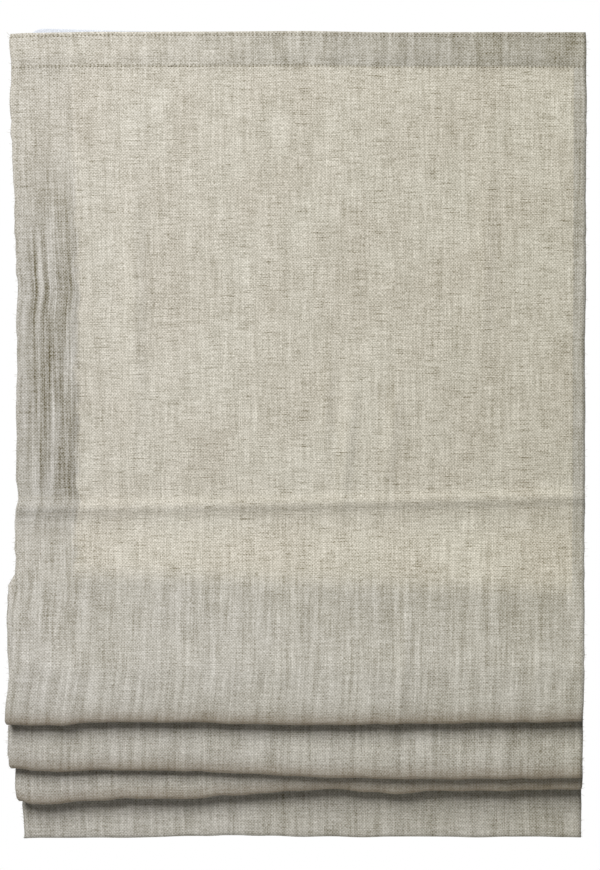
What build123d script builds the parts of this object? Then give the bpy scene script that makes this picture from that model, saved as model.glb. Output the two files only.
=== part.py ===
from build123d import *
import os
from math import cos, pi, sin

# Roman blind, half raised: a linen sheet hung from a slim headrail and gathered into three folds
# by two lift cords that wind on drums inside the rail. Millimetres, +Z up, +X to the right and -Y
# into the room. The origin lies on the wall, midway between the two bracket screw holes.

# Linen sheet
cloth_width = 460
cloth_gauge = 0.7
hem_gauge = 0.5
left_hem = 50
right_hem = 10
layer_gap = 0.2
heading_turn = 30
heading_rise = 1

# Folds, as rises above the bottom edge of the gathered sheet and reaches in front of its plane
sheet_drop = 649
rod_1_rise = 267
lean_rise = 249
lean_radius = 60
crest_rise = 211.5
stack_pitch = 24
fold_1_rise = 95
fold_2_rise = 53
fold_3_rise = 35
fold_1_shoulder = 139
fold_2_shoulder = 119
fold_3_shoulder = 109
shoulder_radius = 25
fold_1_reach = 36
fold_2_reach = 24
fold_3_reach = 12
fold_width = 7
crest_radius = 1.8
step_reach = 5.9
step_drop = 5
step_radius = 2
bar_hem = 30
hem_taper = 6
hem_lap = 6
bend_share = 0.46

# Headrail
rail_inset = 15
rail_depth = 24
rail_height = 28
rail_wall = 1.4
rail_lip = 4.5
rail_standoff = 4
rail_above_hole = 15
tuck_rise = 3
tuck_reach = 4

# Wall brackets
bracket_gauge = 1.5
bracket_width = 28
bracket_drop = 27
bracket_inset = 80
bracket_bend = 2
wall_hole_radius = 2.5
slip = 0.2
clamp_radius = 1.5
clamp_length = 8
clamp_head_radius = 2.9
clamp_head_height = 1.7
clamp_inset = 5

# Fastening tapes
tape_height = 26
tape_gauge = 1.5
tape_drop = 2

# Rods, pockets and cord guides
rod_radius = 2
pocket_height = 15
pocket_gauge = 0.5
pocket_inset = 12
pocket_clearance = 0.25
rod_overhang = 5.5
cap_length = 7
cap_wall = 0.7
cap_round = 1.2
fit = 0.05
seat = 0.1
guide_radius = 4.9
guide_band = 1.8
guide_height = 2
guide_round = 0.5
guide_tab_width = 8
guide_tab_height = 5
guide_tab_gauge = 0.9

# Cords and drums
cord_radius = 0.5
cord_inset = 80
cord_lay_gap = 0.2
drum_core = 5.4
drum_flange = 9
drum_flange_gauge = 1.5
drum_length = 36
drum_wound = 21.5
drum_journal = 4.5
drum_journal_length = 5
shaft_side = 5
shaft_play = 0.1
turning_clearance = 0.1
anchor_radius = 3.6
anchor_height = 9
anchor_round = 1.2

# Drum cradles
cradle_base = 2
cradle_run_gap = 1.1
cradle_side_gap = 0.5
cradle_post = 4
cradle_post_half = 6.5
cradle_lug_length = 5
cord_slot = 4

# Ends of the rail
cap_plate = 3
plug_length = 12
plug_wall = 1.6
plug_boss = 8
plug_clearance = 0.2
bush_radius = 5
bush_length = 10
drive_width = 14
drive_floor = 3
drive_cover = 2
end_round = 1.5

# Chain wheel and brake spring
bead_radius = 2.25
bead_pitch = 6
bead_count = 8
bead_play = 0.15
wheel_radius = 9
wheel_width = 8
wheel_side_gap = 1
wheel_link_slot = 2
hub_radius = 5
socket_depth = 10
stub_radius = 3
stub_length = 3
spring_wire = 1
spring_turns = 8
spring_gap = 0.1
spring_room = 0.4
spring_groove_share = 0.75

# Bottom bar
bar_gauge = 3
bar_height = 22
bar_inset = 12
bar_clearance = 0.3
bar_round = 1.4

overrun = 1

# Planes that the pieces share, front to back
rail_back = -(bracket_gauge + rail_standoff)
rail_front = rail_back - rail_depth
hook_front = rail_front - tape_gauge
loop_front = hook_front - tape_gauge
heading_pitch = cloth_gauge + 2 * hem_gauge + layer_gap
sheet_y = loop_front - cloth_gauge / 2 - heading_pitch
pocket_front = sheet_y + cloth_gauge / 2 + hem_gauge
pocket_bore = rod_radius + pocket_clearance
rod_y = pocket_front + pocket_gauge + pocket_bore
pocket_back = rod_y + pocket_bore + pocket_gauge
cord_y = pocket_back + seat + guide_radius
axis_y = cord_y + drum_core + cord_radius + cord_lay_gap

# Heights that the pieces share, and drops below the top edge of the sheet
rail_top = rail_above_hole
rail_bottom = rail_top - rail_height
cloth_top = rail_top + tuck_rise + heading_rise
axis_z = rail_bottom + rail_wall + cradle_base + cradle_run_gap + drum_flange
crest_to_rod = cloth_gauge + crest_radius + pocket_height / 2 + layer_gap
folds = [
    (fold_1_reach, fold_1_rise, fold_1_shoulder),
    (fold_2_reach, fold_2_rise, fold_2_shoulder),
    (fold_3_reach, fold_3_rise, fold_3_shoulder),
]
crest_drops = [sheet_drop - crest_rise + level * stack_pitch for level, _ in enumerate(folds)]
rod_drops = [sheet_drop - rod_1_rise] + [crest + crest_to_rod for crest in crest_drops]

# Places along the rail
half_width = cloth_width / 2
rail_left = -half_width + rail_inset + cap_plate
rail_right = half_width - rail_inset - drive_width - drive_cover
pocket_half = half_width - pocket_inset
cord_places = {"left": cord_inset - half_width, "right": half_width - cord_inset}
bracket_places = {"left": bracket_inset - half_width, "right": half_width - bracket_inset}


def save(name, *solids):
    """Write one node: a single solid, or a group of separate like solids."""
    shape = solids[0] if len(solids) == 1 else Compound(children=list(solids))
    export_step(shape, f"parts/{name}.step")


def along_x(section, start, length):
    """A section drawn in Y and Z, carried along X from start."""
    return extrude(Plane.YZ.offset(start) * section, amount=length)


def disc(radius, y=axis_y, z=axis_z):
    """A round section about the drive axis, or about another line along X."""
    return Pos(y, z) * Circle(radius)


def block(y0, y1, z0, z1):
    """A rectangular section between two Y and two Z planes."""
    return Pos((y0 + y1) / 2, (z0 + z1) / 2) * Rectangle(abs(y1 - y0), abs(z1 - z0))


def square(side):
    """The square section of the drive shaft or of a socket for it."""
    return Pos(axis_y, axis_z) * Rectangle(side, side)


def sheet_line():
    """Middle line of the sheet from the back of the heading to the end of the bottom hem.

    Each corner is (reach in front of the sheet, drop below its top edge, bend radius).
    A fold slopes out to its shoulder and hangs straight, turns under, climbs to the same height and
    slopes in to the crest at the next rod. It leaves the crest straight down along the rod's pocket
    before it steps out past the crest below.
    """
    half = cloth_gauge / 2
    heading_bend = bend_share * heading_pitch
    hem_pitch = bar_gauge + 2 * (half + hem_gauge + bar_clearance)
    hem_bend = bend_share * hem_pitch
    fold_bend = bend_share * fold_width
    crest_bend = bend_share * 2 * crest_radius
    corners = [
        (-heading_pitch, heading_turn, 0),
        (-heading_pitch, half, heading_bend),
        (0, half, heading_bend),
        (0, sheet_drop - lean_rise, lean_radius),
    ]
    for (reach, rise, shoulder), top, rod_drop in zip(folds, crest_drops, rod_drops[1:]):
        low = sheet_drop - rise - half
        high = sheet_drop - shoulder
        inner = reach - fold_width
        crest = top + half
        corners += [(reach, high, shoulder_radius), (reach, low, fold_bend)]
        corners += [(inner, low, fold_bend), (inner, high, shoulder_radius)]
        corners += [(2 * crest_radius, crest, crest_bend), (0, crest, crest_bend)]
        if rod_drop < rod_drops[-1]:
            leave = rod_drop + pocket_height / 2 + layer_gap
            corners += [(0, leave, step_radius), (step_reach, leave + step_drop, step_radius)]
    corners += [
        (0, sheet_drop - half, hem_bend),
        (-hem_pitch, sheet_drop - half, hem_bend),
        (-hem_pitch, sheet_drop - bar_hem, step_radius),
        (-heading_pitch, sheet_drop - bar_hem - hem_taper, step_radius),
        (-heading_pitch, sheet_drop - bar_hem - hem_taper - hem_lap, 0),
    ]
    points = [Vector(0, sheet_y - reach, cloth_top - drop) for reach, drop, _ in corners]
    return FilletPolyline(*points, radius=[bend for _, _, bend in corners[1:-1]])


def linen_panel():
    """The sheet: its section across the width, with both side hems, carried down its line."""
    line = sheet_line()
    start = line @ 0
    face = start.Y + cloth_gauge / 2
    back = start.Y - cloth_gauge / 2
    hem = back - hem_gauge
    outline = [
        (-half_width, face),
        (half_width, face),
        (half_width, hem),
        (half_width - right_hem, hem),
        (half_width - right_hem, back),
        (left_hem - half_width, back),
        (left_hem - half_width, hem),
        (-half_width, hem),
    ]
    section = Pos(0, 0, start.Z) * make_face(Polyline(*outline, close=True))
    return sweep(section, path=line)


def fastening_tape(front):
    """A flat tape behind the heading, its front face at the given plane."""
    top = cloth_top - tape_drop
    length = cloth_width - 2 * rail_inset
    return along_x(block(front, front + tape_gauge, top - tape_height, top), -length / 2, length)


def headrail():
    """Extruded channel, open below between two lips, with a tuck along its top for the brackets."""
    inner_front = rail_front + rail_wall
    inner_back = rail_back - rail_wall
    floor = rail_bottom + rail_wall
    ceiling = rail_top - rail_wall
    tuck = rail_top + bracket_gauge + slip
    outline = [
        (rail_front + rail_lip, rail_bottom),
        (rail_front, rail_bottom),
        (rail_front, rail_top + tuck_rise),
        (rail_front + tuck_reach, rail_top + tuck_rise),
        (rail_front + tuck_reach, tuck),
        (inner_front, tuck),
        (inner_front, rail_top),
        (rail_back, rail_top),
        (rail_back, rail_bottom),
        (rail_back - rail_lip, rail_bottom),
        (rail_back - rail_lip, floor),
        (inner_back, floor),
        (inner_back, ceiling),
        (inner_front, ceiling),
        (inner_front, floor),
        (rail_front + rail_lip, floor),
    ]
    section = make_face(Polyline(*outline, close=True))
    rail = along_x(section, rail_left, rail_right - rail_left)
    for place in bracket_places.values():
        hole = Cylinder(clamp_radius + slip / 2, rail_wall + 2 * overrun)
        rail -= Pos(place, rail_back - clamp_inset, rail_top - rail_wall / 2) * hole
    return rail


def wall_bracket(place):
    """Folded steel strip: an arm tucked over the rail and a plate down the wall."""
    tip = rail_front + rail_wall + slip
    top = rail_top + bracket_gauge
    outline = [
        (tip, rail_top),
        (-bracket_gauge, rail_top),
        (-bracket_gauge, top - bracket_drop),
        (0, top - bracket_drop),
        (0, top),
        (tip, top),
    ]
    section = make_face(Polyline(*outline, close=True))
    section = fillet(section.vertices().sort_by_distance((0, top))[0], bracket_bend)
    strip = along_x(section, place - bracket_width / 2, bracket_width)
    wall_hole = Rot(90, 0, 0) * Cylinder(wall_hole_radius, bracket_gauge + 2 * overrun)
    strip -= Pos(place, -bracket_gauge / 2, 0) * wall_hole
    clamp_hole = Cylinder(clamp_radius + slip / 2, bracket_gauge + 2 * overrun)
    return strip - Pos(place, rail_back - clamp_inset, rail_top + bracket_gauge / 2) * clamp_hole


def clamp_screw(place):
    """Pan head screw that holds the arm of a bracket down on the rail."""
    seat_z = rail_top + bracket_gauge
    head = Pos(0, 0, clamp_head_height / 2) * Cylinder(clamp_head_radius, clamp_head_height)
    head = fillet(head.edges().sort_by(Axis.Z)[-1], clamp_head_height / 2)
    shank = Pos(0, 0, -clamp_length / 2) * Cylinder(clamp_radius, clamp_length)
    return Pos(place, rail_back - clamp_inset, seat_z) * (head + shank)


def rail_plug(start):
    """Ribbed plug that fills the rail's end: a hollow frame, a boss on the drive axis and two ribs."""
    front = rail_front + rail_wall + plug_clearance
    back = rail_back - rail_wall - plug_clearance
    floor = rail_bottom + rail_wall + plug_clearance
    ceiling = rail_top - rail_wall - plug_clearance
    inside = block(front + plug_wall, back - plug_wall, floor + plug_wall, ceiling - plug_wall)
    frame = block(front, back, floor, ceiling) - inside
    ribs = block(front, back, axis_z - plug_wall / 2, axis_z + plug_wall / 2)
    ribs += block(axis_y - plug_wall / 2, axis_y + plug_wall / 2, floor, ceiling)
    return along_x(frame + ribs + disc(plug_boss), start, plug_length)


def end_plate(start, gauge):
    """A plate with the rail's outside outline and rounded corners."""
    section = block(rail_front, rail_back, rail_bottom, rail_top + tuck_rise)
    return along_x(fillet(section.vertices(), end_round), start, gauge)


def idler_end_cap():
    """Moulded cap that closes the rail's left end and carries the end bush of the shaft."""
    cap = end_plate(rail_left - cap_plate, cap_plate) + rail_plug(rail_left)
    bore = disc(bush_radius + turning_clearance)
    return cap - along_x(bore, rail_left, plug_length + overrun)


def shaft_bush():
    """Round bush on the shaft's left end."""
    start = rail_left + plug_length - bush_length
    bush = along_x(disc(bush_radius), start, bush_length)
    return bush - along_x(square(shaft_side + 2 * shaft_play), start - overrun, bush_length + 2 * overrun)


def drive_shaft():
    """Square bar from the end bush to the socket in the chain wheel's hub."""
    start = rail_left + plug_length - bush_length
    end = rail_right - plug_length + socket_depth - shaft_play
    return along_x(square(shaft_side), start, end - start)


def bead_circle():
    """Radius on which the beads of the chain lie in the wheel."""
    return bead_pitch / (2 * sin(pi / bead_count))


def chain_wheel():
    """Wheel with a pocket for each bead, a slot for the links, a hub and an end stub."""
    start = rail_right + drive_floor + wheel_side_gap
    hub_start = rail_right - plug_length
    middle = start + wheel_width / 2
    wheel = along_x(disc(wheel_radius), start, wheel_width)
    link_floor = bead_circle() - bead_radius / 2
    link_ring = disc(wheel_radius + overrun) - disc(link_floor)
    wheel -= along_x(link_ring, middle - wheel_link_slot / 2, wheel_link_slot)
    for bead in range(bead_count):
        angle = 2 * pi * bead / bead_count
        y = axis_y + bead_circle() * cos(angle)
        z = axis_z + bead_circle() * sin(angle)
        wheel -= Pos(middle, y, z) * Sphere(bead_radius + bead_play)
    wheel += along_x(disc(hub_radius), hub_start, start - hub_start)
    wheel += along_x(disc(stub_radius), start + wheel_width, stub_length)
    socket = square(shaft_side + 2 * shaft_play)
    return wheel - along_x(socket, hub_start - overrun, socket_depth + overrun)


def spring_room_radius():
    """Radius of the room round the hub that holds the brake spring."""
    return hub_radius + spring_gap + spring_wire + spring_room


def drive_housing():
    """Moulded housing of the chain wheel, plugged into the rail's right end.

    The wheel's chamber opens to the right under the cover, and two channels lead the chain
    out below. The plug's boss holds the brake spring round the hub.
    """
    body = end_plate(rail_right, drive_width) + rail_plug(rail_right - plug_length)
    chamber = bead_circle() + bead_radius + spring_room
    deep = drive_width - drive_floor
    body -= along_x(disc(chamber), rail_right + drive_floor, deep + overrun)
    for side in (-1, 1):
        middle = axis_y + side * bead_circle()
        half = bead_radius + bead_play
        channel = block(middle - half, middle + half, rail_bottom - overrun, axis_z)
        body -= along_x(channel, rail_right + drive_floor, deep + overrun)
    bore = along_x(
        disc(hub_radius + turning_clearance),
        rail_right - plug_length - overrun,
        plug_length + drive_floor + 2 * overrun,
    )
    room = along_x(disc(spring_room_radius()), rail_right - plug_length - overrun, plug_length + overrun)
    return body - bore - room


def brake_spring():
    """Close-wound spring that grips the hub and holds the blind at any height."""
    inner = hub_radius + spring_gap
    start = rail_right - spring_turns * spring_wire
    coils = along_x(disc(inner + spring_wire) - disc(inner), start, spring_turns * spring_wire)
    groove = disc(inner + spring_wire + overrun) - disc(inner + spring_wire * spring_groove_share)
    for turn in range(1, spring_turns):
        place = start + turn * spring_wire - spring_gap
        coils -= along_x(groove, place, 2 * spring_gap)
    return coils


def drive_cover_plate():
    """Cover over the chain wheel, with a blind bearing for the wheel's stub."""
    start = rail_right + drive_width
    cover = end_plate(start, drive_cover)
    wheel_end = rail_right + drive_floor + wheel_side_gap + wheel_width + stub_length
    bearing = disc(stub_radius + turning_clearance)
    return cover - along_x(bearing, start - overrun, wheel_end - start + overrun + slip)


def drum_start(place):
    """Left face of the winding of the drum that serves the cord at this place."""
    return place - drum_wound - cord_radius - cord_lay_gap


def cord_drum(place):
    """Moulded spool: a core between two flanges, with a journal at each end and a square bore."""
    start = drum_start(place)
    end = start + drum_length
    drum = along_x(disc(drum_core), start, drum_length)
    drum += along_x(disc(drum_flange), start - drum_flange_gauge, drum_flange_gauge)
    drum += along_x(disc(drum_flange), end, drum_flange_gauge)
    low = start - drum_flange_gauge - drum_journal_length
    length = drum_length + 2 * (drum_flange_gauge + drum_journal_length)
    drum += along_x(disc(drum_journal), low, length)
    bore = square(shaft_side + 2 * shaft_play)
    return drum - along_x(bore, low - overrun, length + 2 * overrun)


def wound_cord(place):
    """The turns of cord that lie on the drum while the blind is half raised."""
    inner = drum_core + fit
    ring = disc(inner + 2 * cord_radius) - disc(inner)
    return along_x(ring, drum_start(place) + fit, drum_wound - fit)


def drum_cradle(place):
    """Moulded cradle on the rail's lips: two posts with bearings and a slot for the cord."""
    floor = rail_bottom + rail_wall
    post_gap = cradle_run_gap / 2
    start = drum_start(place) - drum_flange_gauge - post_gap - cradle_post
    length = drum_length + 2 * (drum_flange_gauge + post_gap + cradle_post)
    front = rail_front + rail_wall + cradle_side_gap
    back = rail_back - rail_wall - cradle_side_gap
    cradle = along_x(block(front, back, floor, floor + cradle_base), start, length)
    lug = block(
        rail_front + rail_lip + plug_clearance,
        rail_back - rail_lip - plug_clearance,
        rail_bottom,
        floor,
    )
    post = block(axis_y - cradle_post_half, axis_y + cradle_post_half, floor, axis_z)
    post = post + disc(cradle_post_half) - disc(drum_journal + turning_clearance)
    for low, lug_low in (
        (start, start),
        (start + length - cradle_post, start + length - cradle_lug_length),
    ):
        cradle += along_x(post, low, cradle_post)
        cradle += along_x(lug, lug_low, cradle_lug_length)
    slot = block(cord_y - cord_slot / 2, cord_y + cord_slot / 2, rail_bottom, axis_z)
    slot_start = drum_start(place)
    return cradle - along_x(slot, slot_start, drum_length)


def rod_pocket(height):
    """Tape sewn flat to the back of the sheet, with a tube down its middle for the rod."""
    half = pocket_height / 2
    outer = pocket_bore + pocket_gauge
    outline = [
        (pocket_front, height - half),
        (pocket_front, height + half),
        (pocket_front + pocket_gauge, height + half),
        (rod_y, height + outer),
        (rod_y, height - outer),
        (pocket_front + pocket_gauge, height - half),
    ]
    section = make_face(Polyline(*outline, close=True)) + disc(outer, rod_y, height)
    section -= disc(pocket_bore, rod_y, height)
    return along_x(section, -pocket_half, 2 * pocket_half)


def rod(height):
    """Round glass-fibre rod, a little longer than its pocket."""
    length = 2 * (pocket_half + rod_overhang)
    return along_x(disc(rod_radius, rod_y, height), -length / 2, length)


def rod_cap(height, side):
    """Moulded cap pushed on one end of a rod, just outside its pocket."""
    bore = rod_radius + fit
    shell = Pos(0, 0, cap_length / 2) * Cylinder(bore + cap_wall, cap_length)
    shell = fillet(shell.edges().sort_by(Axis.Z)[-1], cap_round)
    shell -= Pos(0, 0, rod_overhang / 2) * Cylinder(bore, rod_overhang + fit)
    return Pos(side * (pocket_half + seat), rod_y, height) * Rot(0, side * 90, 0) * shell


def cord_guide(place, height):
    """Moulded ring for the cord, with a tab sewn to the back of the pocket."""
    ring = Cylinder(guide_radius, guide_height)
    ring = fillet(ring.edges().filter_by(GeomType.CIRCLE), guide_round)
    tab_y = guide_tab_gauge / 2 - guide_radius
    tab = Pos(0, tab_y, 0) * Box(guide_tab_width, guide_tab_gauge, guide_tab_height)
    hole = Cylinder(guide_radius - guide_band, guide_height + 2 * overrun)
    return Pos(place, cord_y, height) * (ring + tab - hole)


def anchor_top():
    """Height of the top of the cord anchors, just under the lowest cord guides."""
    return cloth_top - rod_drops[-1] - guide_height / 2 - seat


def cord_anchor(place):
    """Moulded bead on the end of a lift cord, held under the lowest cord guide."""
    bead = Cylinder(anchor_radius, anchor_height)
    bead = fillet(bead.edges().filter_by(GeomType.CIRCLE), anchor_round)
    bead -= Cylinder(cord_radius + seat, anchor_height + 2 * overrun)
    return Pos(place, cord_y, anchor_top() - anchor_height / 2) * bead


def lift_cord(place):
    """Straight run of cord from its drum through the guides into its anchor."""
    bottom = anchor_top() - anchor_height + seat
    length = axis_z - bottom
    return Pos(place, cord_y, bottom + length / 2) * Cylinder(cord_radius, length)


def bottom_bar():
    """Flat aluminium bar in the bottom hem, with rounded edges."""
    front = sheet_y + cloth_gauge / 2 + hem_gauge + bar_clearance
    floor = cloth_top - sheet_drop + cloth_gauge + hem_gauge + bar_clearance
    section = block(front, front + bar_gauge, floor, floor + bar_height)
    section = fillet(section.vertices(), bar_round)
    length = cloth_width - 2 * bar_inset
    return along_x(section, -length / 2, length)


os.makedirs("parts", exist_ok=True)

save("linen_panel", linen_panel())
save("loop_tape", fastening_tape(loop_front))
save("hook_tape", fastening_tape(hook_front))
save("headrail", headrail())
save("idler_end_cap", idler_end_cap())
save("shaft_bush", shaft_bush())
save("drive_shaft", drive_shaft())
save("chain_wheel", chain_wheel())
save("drive_housing", drive_housing())
save("brake_spring", brake_spring())
save("drive_cover", drive_cover_plate())
save("bottom_bar", bottom_bar())

save("clamp_screws", *[clamp_screw(place) for place in bracket_places.values()])
for side, place in bracket_places.items():
    save(f"wall_bracket_{side}", wall_bracket(place))

for side, place in cord_places.items():
    save(f"cord_drum_{side}", cord_drum(place))
    save(f"wound_cord_{side}", wound_cord(place))
    save(f"drum_cradle_{side}", drum_cradle(place))
    save(f"lift_cord_{side}", lift_cord(place))
    save(f"cord_anchor_{side}", cord_anchor(place))

for number, drop in enumerate(rod_drops, 1):
    level = cloth_top - drop
    save(f"rod_{number}", rod(level))
    save(f"rod_pocket_{number}", rod_pocket(level))
    save(f"rod_caps_{number}", rod_cap(level, -1), rod_cap(level, 1))
    save(f"cord_guides_{number}", *[cord_guide(place, level) for place in cord_places.values()])
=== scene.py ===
import math

import bpy
import numpy as np
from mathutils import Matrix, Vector


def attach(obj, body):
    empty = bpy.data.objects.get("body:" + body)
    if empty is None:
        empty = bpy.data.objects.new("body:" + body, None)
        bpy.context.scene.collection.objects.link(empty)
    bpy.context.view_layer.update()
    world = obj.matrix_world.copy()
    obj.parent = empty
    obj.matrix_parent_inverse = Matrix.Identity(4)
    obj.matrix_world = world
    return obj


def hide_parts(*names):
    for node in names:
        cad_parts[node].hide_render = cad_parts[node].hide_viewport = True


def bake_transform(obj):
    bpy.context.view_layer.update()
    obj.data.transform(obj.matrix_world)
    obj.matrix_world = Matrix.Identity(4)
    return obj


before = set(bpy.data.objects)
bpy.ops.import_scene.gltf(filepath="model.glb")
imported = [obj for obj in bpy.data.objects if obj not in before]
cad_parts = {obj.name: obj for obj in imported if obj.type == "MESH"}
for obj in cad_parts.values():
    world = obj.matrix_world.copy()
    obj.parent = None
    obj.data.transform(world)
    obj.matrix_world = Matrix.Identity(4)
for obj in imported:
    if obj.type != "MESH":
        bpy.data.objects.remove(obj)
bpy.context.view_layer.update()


# Wall brackets, clamp screws, drive shaft and brake spring: cold-rolled mild steel, pressed, drawn
# or wound, then zinc plated. A screw holds each bracket to the wall and another clamps the rail.

def linear(code):
    """An sRGB hex colour as linear red, green, blue and alpha."""
    part = np.array([int(code[i:i + 2], 16) for i in (1, 3, 5)]) / 255
    part = np.where(part <= 0.04045, part / 12.92, ((part + 0.055) / 1.055) ** 2.4)
    return (*part.tolist(), 1.0)


def add_node(tree, kind, settings=None, links=None):
    """Add one shader node: lower-case settings are its properties, the others its sockets, and links
    feed its sockets, each from a node and the name or number of an output."""
    node = tree.nodes.new("ShaderNode" + kind)
    for key, value in (settings or {}).items():
        if isinstance(key, str) and key.islower():
            setattr(node, key, value)
        else:
            node.inputs[key].default_value = value
    for key, (source, output) in (links or {}).items():
        tree.links.new(source.outputs[output], node.inputs[key])
    return node


def new_material(name, sockets):
    """A material with one Principled shader whose sockets take these values."""
    material = bpy.data.materials.new(name)
    material.use_nodes = True
    shader = material.node_tree.nodes["Principled BSDF"]
    for key, value in sockets.items():
        shader.inputs[key].default_value = value
    return material, material.node_tree, shader


def grain(tree, kind, sizes_mm, settings=None):
    """A texture over the object's own coordinates, with grains of these sizes along X, Y and Z."""
    place = add_node(tree, "TexCoord")
    grid = add_node(tree, "VectorMath", {"operation": "MULTIPLY", 1: [1000 / size for size in sizes_mm]},
                    {0: (place, "Object")})
    return add_node(tree, kind, {"Scale": 1.0, **(settings or {})}, {"Vector": (grid, "Vector")})


def colour(tree, shader, source, tones=None, gloss=None, relief=None):
    """Let one output of a texture lead a shader from one tone to another, from one roughness to
    another, and in and out by a relief of this strength and depth in millimetres."""
    if tones:
        tone = add_node(tree, "Mix", {"data_type": "RGBA", 6: linear(tones[0]), 7: linear(tones[1])},
                        {0: source})
        tree.links.new(tone.outputs[2], shader.inputs["Base Color"])
    if gloss:
        rough = add_node(tree, "MapRange", {"To Min": gloss[0], "To Max": gloss[1]}, {"Value": source})
        tree.links.new(rough.outputs["Result"], shader.inputs["Roughness"])
    if relief:
        bump = add_node(tree, "Bump", {"Strength": relief[0], "Distance": relief[1] / 1000},
                        {"Height": source})
        tree.links.new(bump.outputs["Normal"], shader.inputs["Normal"])


def dress(material, *nodes):
    """Give CAD nodes this material in place of the plain one that they came with."""
    for name in nodes:
        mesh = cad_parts[name].data
        mesh.materials.clear()
        mesh.materials.append(material)


# Zinc plate is a pale blue-grey with a fine spangle, and its gloss changes from grain to grain.
spangle_mm = 3.5
zinc, tree, shader = new_material("zinc_plated_steel", {"Metallic": 1.0})
spangle = grain(tree, "TexVoronoi", 3 * [spangle_mm])
colour(tree, shader, (spangle, "Color"), tones=("#A9AEB2", "#C6CACD"), gloss=(0.28, 0.45))
dress(zinc, "wall_bracket_left", "wall_bracket_right", "clamp_screws", "drive_shaft", "brake_spring")


# Headrail: an extruded aluminium channel with a white powder coat, cut to length and left open
# below. The brackets tuck into the lip along its top.

# A powder coat cures to a satin skin with a faint orange-peel ripple.
peel_mm = 1.2
coat, tree, shader = new_material("powder_coated_aluminium", {"Roughness": 0.42})
peel = grain(tree, "TexNoise", 3 * [peel_mm], {"Detail": 1.0})
colour(tree, shader, (peel, "Fac"), tones=("#ECECEA", "#F2F2F0"), relief=(0.25, 0.05))
dress(coat, "headrail")


# Moulded fittings: white nylon end cap, chain drive, drums, cradles, rod caps, cord rings and
# anchors. They are injection moulded, push into the rail or on the rods, or are sewn on.

# Moulded nylon is a slightly warm, milky white with a fine spark-eroded texture.
grit_mm, flow_mm = 0.6, 50 / 3
nylon, tree, shader = new_material("moulded_nylon", {"Subsurface Weight": 0.05, "Subsurface Scale": 0.002})
flow = grain(tree, "TexNoise", 3 * [flow_mm])
colour(tree, shader, (flow, "Fac"), tones=("#E6E5E0", "#F0EFEA"))
grit = grain(tree, "TexNoise", 3 * [grit_mm], {"Detail": 2.0})
colour(tree, shader, (grit, "Fac"), gloss=(0.38, 0.55), relief=(0.2, 0.04))
dress(nylon, "idler_end_cap", "shaft_bush", "chain_wheel", "drive_housing", "drive_cover",
      "cord_drum_left", "cord_drum_right", "drum_cradle_left", "drum_cradle_right",
      "cord_anchor_left", "cord_anchor_right")
for level in range(1, 5):
    dress(nylon, f"rod_caps_{level}", f"cord_guides_{level}")


# Fastening tapes: a woven hook tape glued along the front of the rail and a loop tape sewn to the
# back of the heading. They hold the sheet on the rail, and the loop tape's left end has ridden up.

def surface(name, points, around=False, along=False, caps=False, uv=None):
    """A mesh object from a grid of points in millimetres, rows by columns: four neighbours make a
    face, around joins the last column to the first, along the last row to the first, and caps close
    the first and last rows. Faces of a tube turn outwards: where the volume that they sweep from
    its middle, the sum of corner . (corner x corner), is negative, all are reversed."""
    rows, columns = points.shape[:2]
    index = np.arange(rows * columns).reshape(rows, columns)
    if around:
        index = np.concatenate([index, index[:, :1]], axis=1)
    if along:
        index = np.concatenate([index, index[:1]], axis=0)
    faces = np.stack([index[:-1, :-1], index[:-1, 1:], index[1:, 1:], index[1:, :-1]], axis=-1).reshape(-1, 4)
    flat = points.reshape(-1, 3)
    a, b, c, d = (flat[faces[:, k]] - flat.mean(axis=0) for k in range(4))
    volume = (a * np.cross(b, c)).sum() + (a * np.cross(c, d)).sum()
    faces = faces.tolist()
    if caps:
        faces += [list(range(columns))[::-1], list(range((rows - 1) * columns, rows * columns))]
    if around and volume < 0:
        faces = [face[::-1] for face in faces]
    mesh = bpy.data.meshes.new(name)
    mesh.from_pydata((flat / 1000).tolist(), [], faces)
    mesh.shade_smooth()
    if uv is not None:
        corner = np.empty(len(mesh.loops), np.int32)
        mesh.loops.foreach_get("vertex_index", corner)
        layer = mesh.uv_layers.new(name="UVMap")
        layer.data.foreach_set("uv", uv.reshape(-1, 2)[corner].astype(np.float32).ravel())
    piece = bpy.data.objects.new(name, mesh)
    bpy.context.scene.collection.objects.link(piece)
    return piece


def thicken(piece, gauge):
    """Give a sheet its thickness, half of it to each side."""
    wall = piece.modifiers.new("gauge", "SOLIDIFY")
    wall.thickness, wall.offset = gauge / 1000, 0


tape_length, tape_height, tape_gauge = 430.0, 26.0, 1.4
tape_top, hook_y, loop_y = 17.0, -30.25, -31.75
tape_rows, tape_columns, tape_roundness = 130, 28, 0.25


def tape_points(middle_y, places, rises):
    """A flat strip along X: its section is a rounded rectangle, the points cos(a) and sin(a) taken
    to the power tape_roundness with their signs, and it rises by these rises at these places."""
    x = np.linspace(-tape_length / 2, tape_length / 2, tape_rows)
    a = np.linspace(0, 2 * math.pi, tape_columns, endpoint=False)
    thick, high = (np.sign(wave) * np.abs(wave) ** tape_roundness for wave in (np.cos(a), np.sin(a)))
    y = middle_y + tape_gauge / 2 * thick
    z = tape_top - tape_height / 2 + tape_height / 2 * high
    rise = np.interp(x, places, rises)
    return np.stack(np.broadcast_arrays(x[:, None], y[None, :], z[None, :] + rise[:, None]), axis=-1)


hook_tape = surface("hook_tape_woven", tape_points(hook_y, [0], [0]), around=True, caps=True)
loop_tape = surface("loop_tape_woven", tape_points(loop_y, [-215, -212, -207, -176, -144, -120, -80, 60],
                                                   [2.2, 4.4, 5.5, 4.6, 3.8, 3.4, 2.6, 0.0]),
                    around=True, caps=True)

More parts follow.
